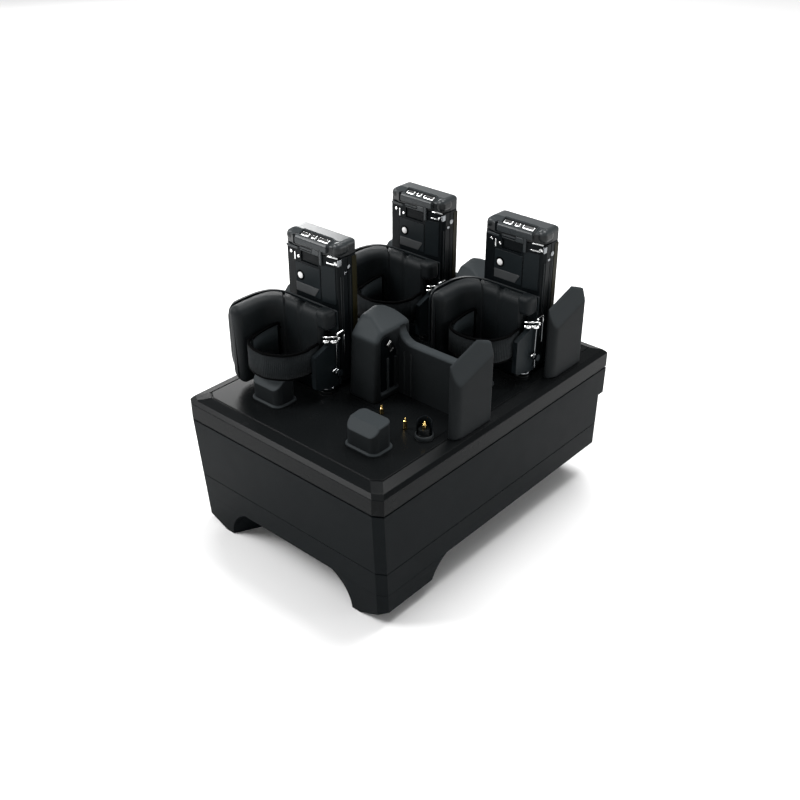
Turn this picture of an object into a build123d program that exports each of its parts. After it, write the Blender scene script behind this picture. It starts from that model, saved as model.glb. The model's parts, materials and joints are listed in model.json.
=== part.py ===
"""Four-bay charging cradle with three docked wearable hand terminals.

Frame: millimetres, +Z up, origin on the table under the middle of the cradle. The front is -Y.
The bays stand in two columns and two rows. Each bay has its own reference point, and everything
that belongs to a bay is written from that point, so a bay or a terminal is made by one function.
"""
import os
from math import atan2, degrees

from build123d import *

# Cradle body
WIDTH = 150.0
DEPTH = 210.0
DECK_Z = 89.0
SEAM_Z = 74.8
SKIRT_Z = 20.6
CORNER_X = 5.3
CORNER_Y = 3.5
SIDE_DRAFT = 0.017
FRONT_DRAFT = 0.067
WALL = 2.6
RIM_Z = 87.4
RIM_INSET = 2.1
RIM_BEVEL_Z = 85.3
RIM_SLOPE = 8.4
SEAM_GAP = 0.8
WAIST_Z = 36.0
REAR_STEP = 5.0
REAR_STEP_Z = 56.5

# Front legs and rear plinth
LEG_X = 25.8
LEG_Y = 41.8
LEG_ARCH = 14.0
LEG_SOLE = 6.0
LEG_SPLAY = 9.1
LEG_SLANT = 9.0
PLINTH_X = 96.0
PLINTH_Y0 = 70.0

# Bays: reference points and the places of things within one bay
PITCH_X = 72.8
PITCH_Y = 88.4
COLUMNS = {"left": -PITCH_X, "right": 0.0}
ROWS = {"front": 0.0, "rear": PITCH_Y}
BAYS = [(col, row) for row in ROWS for col in COLUMNS]
DOCKED = [("left", "front"), ("left", "rear"), ("right", "rear")]
GAP_X0 = 14.1
GAP_X1 = 66.4
TOWER_X0 = GAP_X1 - PITCH_X
FIN_X1 = 71.0
FIN_NOSE_Y = -35.8
FIN_Y1 = -9.2
FIN_ROOT_Z = 80.0
FIN_ROOF_Z = 124.0
FIN_ROOF_RISE = 0.325
FIN_ROOF_FALL = 15.3
FIN_PEAK = (-19.5, 140.6)
RAIL_X0 = 7.9
GUIDE_Y0 = -41.8
GUIDE_Y1 = -11.0
WALL_Y0 = -21.5
WALL_Y1 = -15.0
WALL_TOP_Z = 122.0
WALL_ROUND = 1.4
WALL_SWEEP = 9.0
TOWER_TOP_Z = 137.8
TOWER_FACE_Z = 131.4
TOWER_ROUND = 2.4
RAIL_ROUND = 1.6
PINS = [(22.4, -45.2), (42.7, -48.6), (56.0, -48.4)]
PIN_R = 1.1
PIN_HOLE_R = 1.3
PIN_REACH = 3.0
BOSS_R = 4.9
BOSS_H = 2.6
CUP_R = 3.3
CUP_H = 3.4
POST = (28.2, 49.6, -81.0, -66.0)
POST_Z = 104.8
POST_SHOULDER = 5.0
POST_CORNER = 4.2

# Terminal case
CASE_X0 = 18.4
CASE_X1 = 59.6
CASE_Y0 = -41.0
CASE_Y1 = -24.4
SPLIT_Y = -33.0
CASE_Z0 = 93.2
NECK_Z = 168.6
BROW_Y = -35.4
BROW_Z = 174.2
HEAD_Z = 177.2
HEAD_ROUND = 1.2
CASE_ROUND = 0.9
KEY = (31.8, 45.2, 160.8, 167.0)
KEY_GAP = 0.25
KEY_DEPTH = 1.6
WINDOW = (29.6, 51.8)
WINDOW_H = 4.4

# Cuff, strap and strap hardware
CUFF_Z0 = 92.6
CUFF_Z1 = 141.6
CUFF_X1 = 60.4
PAD_Z1 = 140.0
PAD_X0 = 9.0
PAD_Y0 = -77.0
PAD_Y1 = -43.6
PALM_X0 = 20.0
PALM_X1 = 54.0
PALM_Y1 = -52.0
STRAP_X0 = 22.0
STRAP_X1 = 56.6
STRAP_Y0 = -81.7
STRAP_T = 1.6
STRAP_Z0 = 106.4
STRAP_Z1 = 122.5
ARM_X0 = 57.7
ARM_X1 = 60.7
ARM_Y0 = -61.5
ARM_Y1 = -43.9
CHEEK_Z = 122.8
SHELF_Y0 = -51.0
SHELF_Z0 = 92.3
SHELF_Z1 = 96.8
FOOT_R = 4.6
FOOT_Z1 = 100.5
PIVOT = (-46.0, 103.5)
LEVER_X0 = 61.3
LEVER_X1 = 64.2
PIVOT_R = 0.9
PIVOT_FIT = 0.05

# Tower latch: its pivot lies below and behind its tip, this deep under the guide's face
LATCH_Y = -25.4
LATCH_Z = 117.2
LATCH_DEPTH = 2.4
LATCH_TILT = 35.0
LATCH_HALF = 1.6
LATCH_LENGTH = 9.4
LATCH_PIN_R = 0.6
RECESS = 1.6

# Power inlet
JACK_X = -38.0
JACK_Z = 42.0
JACK_R = 5.0
JACK_BORE_R = 2.9
JACK_LENGTH = 11.0


def box_at(x0, x1, y0, y1, z0, z1):
    """A box between two opposite corners."""
    return Pos((x0 + x1) / 2, (y0 + y1) / 2, (z0 + z1) / 2) * Box(x1 - x0, y1 - y0, z1 - z0)


def rod(x, y, z0, z1, radius):
    """An upright cylinder."""
    return Pos(x, y, (z0 + z1) / 2) * Cylinder(radius, z1 - z0)


def rod_x(x0, x1, y, z, radius):
    """A cylinder that lies along X."""
    return Pos((x0 + x1) / 2, y, z) * Rot(0, 90, 0) * Cylinder(radius, x1 - x0)


def rod_y(x, y0, y1, z, radius):
    """A cylinder that lies along Y."""
    return Pos(x, (y0 + y1) / 2, z) * Rot(90, 0, 0) * Cylinder(radius, y1 - y0)


def prism_x(points, x0, x1):
    """A straight-sided outline in Y and Z, extruded from x0 to x1."""
    return extrude(Plane.YZ.offset(x0) * make_face(Polyline(*points, close=True)), x1 - x0)


def prism_y(points, y0, y1):
    """A straight-sided outline in X and Z, extruded from y0 to y1."""
    return extrude(Plane.XZ.offset(-y1) * make_face(Polyline(*points, close=True)), y1 - y0)


def prism_z(points, z0, z1):
    """A straight-sided outline in X and Y, extruded from z0 to z1."""
    return extrude(Plane.XY.offset(z0) * make_face(Polyline(*points, close=True)), z1 - z0)


def upright_edges(solid):
    return solid.edges().filter_by(Axis.Z)


def soften(solid, radius, floor_z):
    """Round every edge that lies above floor_z."""
    return fillet([edge for edge in solid.edges() if edge.center().Z > floor_z + 0.01], radius)


def bay_name(bay):
    col, row = bay
    return row + "_" + col


def place(bay, solid):
    """Move a solid from bay coordinates to the cradle's frame."""
    col, row = bay
    return Pos(COLUMNS[col], ROWS[row], 0) * solid


# ---------------------------------------------------------------- cradle body

def plan(z, inset=0.0):
    """The drafted outline of the body at height z, with flat corners at the front."""
    drop = SEAM_Z - z
    x = WIDTH / 2 - inset - max(drop, 0) * SIDE_DRAFT
    y0 = -DEPTH / 2 + inset + max(drop, 0) * FRONT_DRAFT
    y1 = DEPTH / 2 - inset
    right = [(x - CORNER_X, y0), (x, y0 + CORNER_Y), (x, y1)]
    return right + [(-a, b) for a, b in reversed(right)]


def body_block(z0, z1, inset=0.0, inset_top=None):
    """The drafted body between two heights; inset_top makes a bevel or a slope of it."""
    inset_top = inset if inset_top is None else inset_top
    low = Plane.XY.offset(z0) * make_face(Polyline(*plan(z0, inset), close=True))
    high = Plane.XY.offset(z1) * make_face(Polyline(*plan(z1, inset_top), close=True))
    return loft([low, high])


def rear_cut(z0, extra=0.0):
    """The space behind the lower rear wall, which stands in from the upper one."""
    return box_at(-WIDTH, WIDTH, DEPTH / 2 - REAR_STEP - extra, DEPTH, z0, REAR_STEP_Z + extra)


def lower_housing():
    outer = body_block(SKIRT_Z, SEAM_Z) - rear_cut(SKIRT_Z - 1)
    inner = body_block(SKIRT_Z - 0.01, SEAM_Z, WALL) - rear_cut(SKIRT_Z - 1, WALL)
    shell = outer - inner
    line = body_block(WAIST_Z - 0.25, WAIST_Z + 0.25, -1) - body_block(WAIST_Z - 1, WAIST_Z + 1, 0.3)
    shell -= line
    return shell - rod_y(JACK_X, DEPTH / 2 - 12, DEPTH / 2, JACK_Z, JACK_R)


def base_plate():
    """Floor of the body, let in between the walls."""
    plate = body_block(SKIRT_Z, SKIRT_Z + 2.2, WALL + 0.1)
    return plate - box_at(-WIDTH, WIDTH, DEPTH / 2 - REAR_STEP - WALL - 0.1, DEPTH, 0, SEAM_Z)


def front_leg(side):
    """A leg under a front corner, with arched inner edges and a sole that rises outwards."""
    x_out = WIDTH / 2
    x_in = x_out - LEG_X
    y_in = -DEPTH / 2 + LEG_Y
    arch_x = Line((x_in, 0), (x_in, 1.5))
    arch_x += RadiusArc((x_in, 1.5), (x_in - LEG_ARCH, SKIRT_Z), -24)
    arch_x += Polyline((x_in - LEG_ARCH, SKIRT_Z), (x_out, SKIRT_Z), (x_out, LEG_SPLAY),
                       (x_in + LEG_SOLE, 0), (x_in, 0))
    front = extrude(Plane.XZ.offset(-y_in - LEG_ARCH) * make_face(arch_x), DEPTH / 2)
    arch_y = Line((y_in, 0), (y_in, 1.5)) + RadiusArc((y_in, 1.5), (y_in + LEG_ARCH, SKIRT_Z), 24)
    arch_y += Polyline((y_in + LEG_ARCH, SKIRT_Z), (-DEPTH / 2, SKIRT_Z), (-DEPTH / 2, 0), (y_in, 0))
    flank = extrude(Plane.YZ.offset(x_in - LEG_ARCH) * make_face(arch_y), WIDTH)
    y_toe = -DEPTH / 2 + SEAM_Z * FRONT_DRAFT
    slant = prism_z([(x_in, y_toe), (x_in - LEG_SLANT, y_toe + 2 * LEG_SLANT), (x_in - LEG_SLANT, y_in),
                     (x_in + 1, y_in), (x_in + 1, y_toe)], 0, SKIRT_Z)
    leg = body_block(0, SKIRT_Z) & (front + slant) & flank
    return leg if side > 0 else mirror(leg, about=Plane.YZ)


def rear_plinth():
    """Support under the back: a cross bar with two soles."""
    y1 = DEPTH / 2 - REAR_STEP - 4
    half = PLINTH_X / 2
    outline = [(-half, 0), (-half + 24, 0), (-half + 30, 12), (half - 30, 12), (half - 24, 0), (half, 0),
               (half, SKIRT_Z), (-half, SKIRT_Z)]
    return prism_y(outline, PLINTH_Y0, y1)


def deck_top():
    """The cover's outside: a band, a small bevel and a rim that rises slightly to the flat deck."""
    top = body_block(SEAM_Z + SEAM_GAP, RIM_BEVEL_Z)
    top += body_block(RIM_BEVEL_Z, RIM_Z, 0, RIM_INSET)
    return top + body_block(RIM_Z, DECK_Z, RIM_INSET, RIM_SLOPE)


def deck_cover():
    """The top cover: sloping rim, engraved frame line, contact bosses and pin holes."""
    cover = deck_top() + body_block(SEAM_Z, SEAM_Z + SEAM_GAP, 0.9)
    cover -= body_block(SEAM_Z, DECK_Z - WALL, WALL + 1.6)
    groove = body_block(DECK_Z - 0.5, DECK_Z + 1, RIM_SLOPE)
    groove -= body_block(DECK_Z - 1, DECK_Z + 1, RIM_SLOPE + 0.6)
    cover -= groove
    boss = fillet(rod(0, 0, DECK_Z, DECK_Z + BOSS_H, BOSS_R).edges().sort_by(Axis.Z)[-1], 1.2)
    boss += rod(0, 0, DECK_Z, DECK_Z + BOSS_H + CUP_H, CUP_R)
    for bay in BAYS:
        cover += place(bay, Pos(PINS[2][0], PINS[2][1], 0) * boss)
        for x, y in PINS:
            cover -= place(bay, rod(x, y, SEAM_Z, DECK_Z + 20, PIN_HOLE_R))
    return cover


def circuit_board():
    board = box_at(-62, 62, -92, 92, 66.0, 67.6)
    for x in (-55, 55):
        for y in (-84, 0, 84):
            board -= rod(x, y, 60, 70, 1.7)
    return board


def power_inlet():
    """Barrel socket flush with the lower rear wall."""
    y1 = DEPTH / 2 - REAR_STEP
    barrel = rod_y(JACK_X, y1 - JACK_LENGTH - 2, y1, JACK_Z, JACK_R - 0.05)
    return barrel - rod_y(JACK_X, y1 - JACK_LENGTH, y1 + 1, JACK_Z, JACK_BORE_R)


# ---------------------------------------------------------------- bay guides

def latch_frame(face_x, solid):
    """Place a solid written from the latch's pivot, with the leaf along its +Z, on a guide's face."""
    return Pos(face_x - LATCH_DEPTH, LATCH_Y, LATCH_Z) * Rot(LATCH_TILT, 0, 0) * solid


def latch_recess(face_x):
    """The arched pocket in a guide's right face, with two channels and the latch's slot."""
    pocket = [(-36.3, 93), (-36.3, 124.5), (-35.3, 127.2), (-32.8, 128.3), (-29.5, 128.3),
              (-21.0, 116.5), (-21.0, 93)]
    cut = prism_x(pocket, face_x - RECESS, face_x + 1)
    for y0, y1 in [(-35.0, -30.6), (-27.6, -24.6)]:
        cut += box_at(face_x - RECESS - 1.2, face_x + 1, y0, y1, 94, 110)
    slot = box_at(-1.7, 4, -LATCH_HALF - 0.3, LATCH_HALF + 0.3, -1.6, LATCH_LENGTH + 0.8)
    return cut + latch_frame(face_x, slot)


def latch_pin(face_x):
    """The small axle that the latch swings on, across the latch's slot."""
    return latch_frame(face_x, rod_y(0, -LATCH_HALF - 1.1, LATCH_HALF + 1.1, 0, LATCH_PIN_R))


def guide_profile(x0, x1):
    """Humped side profile shared by the central towers and the side rails."""
    hump = [(GUIDE_Y0, DECK_Z), (-39.4, 127.0), (-31.0, 135.8), (-20.0, 137.8), (-12.4, 135.0),
            (GUIDE_Y1, 131.5), (GUIDE_Y1, DECK_Z)]
    return prism_x(hump, x0, x1)


def tower():
    """Central tower of one row, between the two columns, falling towards its right face."""
    body = guide_profile(TOWER_X0, GAP_X0)
    roof = [(TOWER_X0, DECK_Z), (TOWER_X0, TOWER_TOP_Z), (TOWER_X0 + 4, TOWER_TOP_Z),
            (GAP_X0, TOWER_FACE_Z), (GAP_X0, DECK_Z)]
    body = soften(body & prism_y(roof, GUIDE_Y0, GUIDE_Y1), TOWER_ROUND, DECK_Z)
    return body - latch_recess(GAP_X0) + latch_pin(GAP_X0)


def side_rail():
    """Thin left-hand guide of the left column."""
    body = soften(guide_profile(RAIL_X0, GAP_X0), RAIL_ROUND, DECK_Z)
    return body - latch_recess(GAP_X0) + latch_pin(GAP_X0)


def roof_section(y):
    """Section of the space under the fin's roof, which rises to the rear and falls steeply outwards."""
    z = FIN_ROOF_Z + FIN_ROOF_RISE * (y + 26.0)
    corners = [(GAP_X1, FIN_ROOT_Z), (GAP_X1, z + FIN_ROOF_FALL), (FIN_X1, z), (FIN_X1, FIN_ROOT_Z)]
    return Plane.XZ.offset(-y) * make_face(Polyline(*corners, close=True))


def side_fin():
    """Right-hand guide at the cradle's edge: a tooth with a rounded nose and a steep roof."""
    nose = Line((GAP_X1, GUIDE_Y0), (GAP_X1 + 1.0, GUIDE_Y0))
    nose += RadiusArc((GAP_X1 + 1.0, GUIDE_Y0), (FIN_X1, FIN_NOSE_Y), -6.8)
    nose += Polyline((FIN_X1, FIN_NOSE_Y), (FIN_X1, FIN_Y1), (GAP_X1, FIN_Y1), (GAP_X1, GUIDE_Y0))
    body = extrude(Plane.XY.offset(FIN_ROOT_Z) * make_face(nose), 70)
    crest = [(GUIDE_Y0, FIN_ROOT_Z), (GUIDE_Y0, 133.3), FIN_PEAK, (FIN_Y1, 136.0), (FIN_Y1, FIN_ROOT_Z)]
    body &= prism_x(crest, GAP_X1, FIN_X1)
    return (body & loft([roof_section(-50), roof_section(0)])) - deck_top()


def back_wall():
    """Low wall behind the terminal, swept up into the tower at its left end."""
    foot_z = WALL_TOP_Z + WALL_SWEEP
    sweep_x = GAP_X0 + WALL_SWEEP
    outline = Polyline((GAP_X0, DECK_Z), (GAP_X1, DECK_Z), (GAP_X1, WALL_TOP_Z), (sweep_x, WALL_TOP_Z))
    outline += RadiusArc((sweep_x, WALL_TOP_Z), (GAP_X0, foot_z), WALL_SWEEP)
    outline += Line((GAP_X0, foot_z), (GAP_X0, DECK_Z))
    wall = extrude(Plane.XZ.offset(-WALL_Y1) * make_face(outline), WALL_Y1 - WALL_Y0)
    inner = wall.edges().filter_by(lambda edge: GAP_X0 + 1 < edge.center().X < GAP_X1 - 1)
    return fillet([edge for edge in inner if edge.center().Z > DECK_Z + 1], WALL_ROUND)


def finger_post():
    """Post that fills the strap loop from below: sloping front shoulder and a lip at its foot."""
    x0, x1, y0, y1 = POST
    side = [(y0, DECK_Z), (y0, POST_Z - POST_SHOULDER), (y0 + POST_SHOULDER, POST_Z), (y1, POST_Z + 0.8),
            (y1, DECK_Z)]
    post = fillet(upright_edges(prism_x(side, x0, x1)), POST_CORNER)
    post = fillet(post.edges().filter_by(lambda edge: edge.bounding_box().min.Z > DECK_Z + 1), 0.9)
    lip = fillet(upright_edges(box_at(x0 - 1.1, x1 + 1.1, y0 - 1.1, y1 + 1.1, DECK_Z, DECK_Z + 1.6)), 5.0)
    return post + chamfer(lip.faces().sort_by(Axis.Z)[-1].edges(), 0.8)


def contact_carrier():
    """Three sprung pins on one bar under the deck."""
    bar = box_at(PINS[0][0] - 3, PINS[2][0] + 3, PINS[1][1] - 4, PINS[0][1] + 4, 79.5, 81.5)
    tips = [DECK_Z + PIN_REACH, DECK_Z + PIN_REACH, DECK_Z + BOSS_H + CUP_H + PIN_REACH]
    for (x, y), tip in zip(PINS, tips):
        pin = rod(x, y, 81.0, tip, PIN_R)
        bar += fillet(pin.edges().sort_by(Axis.Z)[-1], 0.7)
    return bar


def latch():
    """Leaf of bright spring steel that leans out of its slot and rolls over at its top."""
    lean = [(-0.5, 0), (0.5, 0), (3.5, LATCH_LENGTH - 1.4), (2.9, LATCH_LENGTH), (2.0, LATCH_LENGTH - 0.8)]
    leaf = prism_y(lean, -LATCH_HALF, LATCH_HALF)
    leaf += rod_y(0, -LATCH_HALF, LATCH_HALF, 0, 1.25)
    leaf += rod_y(2.7, -LATCH_HALF, LATCH_HALF, LATCH_LENGTH - 1.1, 0.9)
    leaf -= rod_y(0, -LATCH_HALF - 1, LATCH_HALF + 1, 0, LATCH_PIN_R + PIVOT_FIT)
    return latch_frame(GAP_X0, leaf)


# ---------------------------------------------------------------- terminal

def case_plan():
    """Plan of the case: the middle of the front stands out, and both sides fall back from it."""
    return [(CASE_X0, CASE_Y0 + 2.4), (27.0, CASE_Y0), (47.0, CASE_Y0), (58.2, CASE_Y0 + 1.8),
            (CASE_X1, CASE_Y0 + 4.4), (CASE_X1, CASE_Y1 - 2.0), (CASE_X1 - 2, CASE_Y1),
            (CASE_X0 + 2, CASE_Y1), (CASE_X0, CASE_Y1 - 2.0)]


def case_block():
    body = prism_z(case_plan(), CASE_Z0, NECK_Z)
    return fillet(upright_edges(body), CASE_ROUND)


def case_front():
    """Front shell of the terminal, with the key's pocket."""
    body = case_block()
    body &= box_at(CASE_X0, CASE_X1, CASE_Y0, SPLIT_Y, CASE_Z0, NECK_Z)
    x0, x1, z0, z1 = KEY
    body -= box_at(x0, x1, CASE_Y0 - 1, CASE_Y0 + 0.6 + KEY_DEPTH + 1.0, z0, z1)
    return body


def case_back():
    """Back shell, parted from the front by a fine groove."""
    body = case_block()
    body &= box_at(CASE_X0, CASE_X1, SPLIT_Y, CASE_Y1, CASE_Z0, NECK_Z)
    rim = box_at(CASE_X0 - 1, CASE_X1 + 1, SPLIT_Y, SPLIT_Y + 0.5, CASE_Z0 - 1, NECK_Z + 1)
    rim -= box_at(CASE_X0 + 0.5, CASE_X1 - 0.5, SPLIT_Y, SPLIT_Y + 0.5, CASE_Z0 - 1, NECK_Z + 1)
    return body - rim


def head_block():
    """Scan head: a cap with a low sloping brow and rounded shoulders."""
    x0, x1, y0, y1 = CASE_X0, CASE_X1, CASE_Y0, CASE_Y1
    outline = [(x0, y0 + 2.4), (27.0, y0), (47.0, y0), (57.8, y0 + 1.6), (x1, y0 + 9.0), (x1, y1 - 2.0),
               (x1 - 2, y1), (x0 + 2, y1), (x0, y1 - 2.0)]
    body = prism_z(outline, NECK_Z + 0.6, HEAD_Z)
    shoulders = Polyline((x0, NECK_Z), (x0, HEAD_Z - 5.0))
    shoulders += RadiusArc((x0, HEAD_Z - 5.0), (x0 + 5.0, HEAD_Z), 5.0)
    shoulders += Line((x0 + 5.0, HEAD_Z), (x1 - 3.0, HEAD_Z))
    shoulders += RadiusArc((x1 - 3.0, HEAD_Z), (x1, HEAD_Z - 3.0), 3.0)
    shoulders += Polyline((x1, HEAD_Z - 3.0), (x1, NECK_Z), (x0, NECK_Z))
    body &= extrude(Plane.XZ.offset(-y1) * make_face(shoulders), y1 - y0)
    brow = [(y0, NECK_Z), (y0, BROW_Z), (BROW_Y, HEAD_Z), (y1 - 2.2, HEAD_Z), (y1, HEAD_Z - 2.2),
            (y1, NECK_Z)]
    body &= prism_x(brow, x0, x1)
    neck = box_at(x0 + 1, x1 - 1, y0 + 3.6, y1 - 1, NECK_Z, NECK_Z + 0.6)
    return soften(body, HEAD_ROUND, NECK_Z + 0.6) + neck


def window_slot(x0, x1, depth):
    """A slot sunk square into the sloping brow of the head."""
    slope = degrees(atan2(HEAD_Z - BROW_Z, BROW_Y - CASE_Y0))
    middle = Pos((x0 + x1) / 2, (CASE_Y0 + BROW_Y) / 2 + 0.3, (BROW_Z + HEAD_Z) / 2 + 0.15)
    return middle * Rot(slope, 0, 0) * Box(x1 - x0, WINDOW_H, 2 * depth)


def scan_head():
    return head_block() - window_slot(WINDOW[0], WINDOW[1], 2.2)


def scan_window():
    """Glazing at the bottom of the head's slot."""
    glass = window_slot(WINDOW[0], WINDOW[1], 2.2) - window_slot(WINDOW[0] - 1, WINDOW[1] + 1, 0.9)
    return glass & head_block()


def front_key():
    x0, x1, z0, z1 = KEY
    y0 = CASE_Y0 + 0.6
    cap = box_at(x0 + KEY_GAP, x1 - KEY_GAP, y0, y0 + KEY_DEPTH, z0 + KEY_GAP, z1 - KEY_GAP)
    return chamfer(cap.faces().sort_by(Axis.Y)[0].edges(), 0.3)


def cuff_plan(x0, y1, radius, z0, z1):
    """Plan of the cuff's outside, with its big round at the back left."""
    slab = box_at(x0, CUFF_X1, PAD_Y0, y1, z0, z1)
    corner = upright_edges(slab).group_by(Axis.Y)[-1].sort_by(Axis.X)[0]
    return fillet(corner, radius)


def palm_space():
    """The space inside the cuff, open to the front and to the right."""
    space = box_at(PALM_X0, 90, -120, PALM_Y1, 60, 200)
    corner = upright_edges(space).group_by(Axis.Y)[-1].sort_by(Axis.X)[0]
    return fillet(corner, 10.0)


def shelf_space():
    """Room under the cuff for the contact arm's shelf."""
    return box_at(CASE_X0, 90, SHELF_Y0 - 0.2, CASE_Y0 + 5, 60, SHELF_Z1 + 0.2)


def cuff_shell():
    """Hard outer shell of the cuff, fixed to the front of the case."""
    outer = cuff_plan(PAD_X0 - 2.0, CASE_Y0 - 0.1, 15.0, CUFF_Z0, CUFF_Z1)
    inner = cuff_plan(PAD_X0, PAD_Y1, 13.2, CUFF_Z0 - 5, CUFF_Z1 + 5)
    front = box_at(0, 90, -120, PAD_Y0 + 4.0, 60, 200)
    return outer - inner - palm_space() - front - shelf_space()


def cuff_pad():
    """Thick soft lining, with a short thumb rest at its right end."""
    pad = cuff_plan(PAD_X0, PAD_Y1, 13.2, CUFF_Z0, PAD_Z1) - palm_space()
    pad = fillet(upright_edges(pad).group_by(Axis.Y)[0], 5.0)
    pad -= box_at(PALM_X1 - 2, 90, -90, 0, 60, 126.0)
    return pad - shelf_space() - rod(PINS[2][0], PINS[2][1], 60, FOOT_Z1 + 0.2, FOOT_R + 0.2)


def strap():
    """Elastic band: out of the pad's corner, round the fingers and back to the lever on its right."""
    loop = Line((STRAP_X0, PALM_Y1), (STRAP_X0, -71.0))
    loop += ThreePointArc((STRAP_X0, -71.0), (24.6, -77.6), (31.0, -80.9))
    loop += ThreePointArc((31.0, -80.9), (37.0, STRAP_Y0), (43.5, -80.9))
    loop += ThreePointArc((43.5, -80.9), (52.8, -75.0), (STRAP_X1, -65.4))
    loop += Line((STRAP_X1, -65.4), (STRAP_X1 - 1.2, PALM_Y1 - 1.0))
    band = extrude(Plane.XY.offset(STRAP_Z0) * trace(loop, STRAP_T), STRAP_Z1 - STRAP_Z0)
    return band - cuff_pad()


def contact_arm():
    """Arm that carries the strap's right end: a shelf under the cuff, an upright cheek and a foot."""
    arm = box_at(CASE_X0 + 1, ARM_X1, SHELF_Y0, CASE_Y0 - 0.1, SHELF_Z0 + 1.0, SHELF_Z1)
    for x, y in PINS[:2]:
        arm += rod(x, y, SHELF_Z0, SHELF_Z0 + 2, 2.0)
    cheek = [(ARM_Y1, SHELF_Z1 - 2), (ARM_Y1, CHEEK_Z), (ARM_Y1 - 2.5, CHEEK_Z), (ARM_Y0, CHEEK_Z - 5.4),
             (ARM_Y0, 97.5), (-58.0, 95.5)]
    arm += prism_x(cheek, ARM_X0, ARM_X1)
    x, y = PINS[2]
    arm += rod(x, y, SHELF_Z0 - 0.3, FOOT_Z1, FOOT_R)
    arm -= rod(x, y, SHELF_Z0 - 1, FOOT_Z1 - 2.0, CUP_R + 0.4)
    arm += rod_x(ARM_X1 - 1, LEVER_X1 + 0.3, PIVOT[0], PIVOT[1], PIVOT_R)
    return arm + rod_x(LEVER_X1 + 0.2, LEVER_X1 + 0.9, PIVOT[0], PIVOT[1], 1.9)


def strap_lever():
    """Chrome lever that pulls the strap tight: a wire leg on a pivot with a roller block on top."""
    y, z = PIVOT
    lever = rod_x(LEVER_X0, LEVER_X1, y, z, 2.2)
    lever += box_at(LEVER_X0 + 0.4, LEVER_X1 - 0.6, y - 1.0, y + 1.0, z, 120.0)
    lever += box_at(LEVER_X0, LEVER_X1, -51.0, -41.2, 119.6, 124.0)
    lever += rod_y((LEVER_X0 + LEVER_X1) / 2, -41.4, -36.8, 123.2, 0.8)
    return lever - rod_x(LEVER_X0 - 1, LEVER_X1 + 1, y, z, PIVOT_R + PIVOT_FIT)


# ---------------------------------------------------------------- the whole object

CRADLE = {
    "lower_housing": lower_housing,
    "base_plate": base_plate,
    "rear_plinth": rear_plinth,
    "deck_cover": deck_cover,
    "circuit_board": circuit_board,
    "power_inlet": power_inlet,
}
PER_BAY = {
    "back_wall": back_wall,
    "finger_post": finger_post,
    "contact_carrier": contact_carrier,
    "latch": latch,
}
PER_TERMINAL = {
    "case_front": case_front,
    "case_back": case_back,
    "scan_head": scan_head,
    "scan_window": scan_window,
    "front_key": front_key,
    "cuff_shell": cuff_shell,
    "cuff_pad": cuff_pad,
    "strap": strap,
    "contact_arm": contact_arm,
    "strap_lever": strap_lever,
}


def all_parts():
    """Every node's name and solid."""
    parts = {name: make() for name, make in CRADLE.items()}
    parts["leg_left"] = front_leg(-1)
    parts["leg_right"] = front_leg(1)
    for row, y in ROWS.items():
        parts["tower_" + row] = Pos(0, y, 0) * tower()
        parts["side_rail_" + row] = place(("left", row), side_rail())
        parts["side_fin_" + row] = Pos(0, y, 0) * side_fin()
    for name, make in PER_BAY.items():
        solid = make()
        for bay in BAYS:
            parts[name + "_" + bay_name(bay)] = place(bay, solid)
    for name, make in PER_TERMINAL.items():
        solid = make()
        for bay in DOCKED:
            parts[name + "_" + bay_name(bay)] = place(bay, solid)
    return parts


os.makedirs("parts", exist_ok=True)
for node, solid in all_parts().items():
    export_step(solid, "parts/" + node + ".step")
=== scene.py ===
"""Looks of a four-bay charging cradle with three docked hand terminals.

Objects, lights and camera are in metres in the CAD frame. Shapes are written in millimetres. Places
inside a bay are measured from the bay's own reference point, which is found from the frame, so each
terminal is dressed by the same functions.
"""
import json
import math

import bmesh
import bpy
from mathutils import Matrix, Vector


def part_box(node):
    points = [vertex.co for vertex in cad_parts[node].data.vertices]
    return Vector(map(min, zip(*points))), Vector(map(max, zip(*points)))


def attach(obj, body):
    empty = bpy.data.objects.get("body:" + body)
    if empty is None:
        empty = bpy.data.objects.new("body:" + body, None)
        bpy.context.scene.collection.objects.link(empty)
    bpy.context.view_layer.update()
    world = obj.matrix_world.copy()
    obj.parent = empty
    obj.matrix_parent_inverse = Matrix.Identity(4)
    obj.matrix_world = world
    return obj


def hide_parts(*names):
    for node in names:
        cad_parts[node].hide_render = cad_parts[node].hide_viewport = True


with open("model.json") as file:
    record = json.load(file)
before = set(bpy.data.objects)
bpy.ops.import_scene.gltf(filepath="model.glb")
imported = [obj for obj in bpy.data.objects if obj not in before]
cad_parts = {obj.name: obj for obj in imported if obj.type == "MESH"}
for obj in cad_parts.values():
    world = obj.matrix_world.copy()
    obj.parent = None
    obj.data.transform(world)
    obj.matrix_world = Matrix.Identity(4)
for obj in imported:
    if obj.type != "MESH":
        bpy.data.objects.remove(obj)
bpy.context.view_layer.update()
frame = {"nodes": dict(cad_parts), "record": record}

MM = 0.001
DOCKED = ("front_left", "rear_left", "rear_right")
EMPTY = "front_right"
BAYS = DOCKED + (EMPTY,)

# The back wall's low corner in bay millimetres; it tells where a bay's reference point is
WALL_LEFT = 14.1
WALL_FRONT = -21.5

# Lines through points: how finely a curve is walked before it is cut into equal steps
CURVE_STEPS = 600

# Looks: how far mottling darkens and lightens a colour, and the scales of the noises
DARKER = 0.86
LIGHTER = 1.14
MOTTLE_SCALE = 38.0
GLOSS_SCALE = 90.0
GRAIN_SCALE = 2600.0

# Softened nodes: size of the remeshed cells, and how often they are smoothed
MELT_VOXEL = 0.5
MELT_FACTOR = 0.6
FIN_ROUNDS = 16
TOWER_ROUNDS = 24
WELD_REACH = 1e-6

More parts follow.
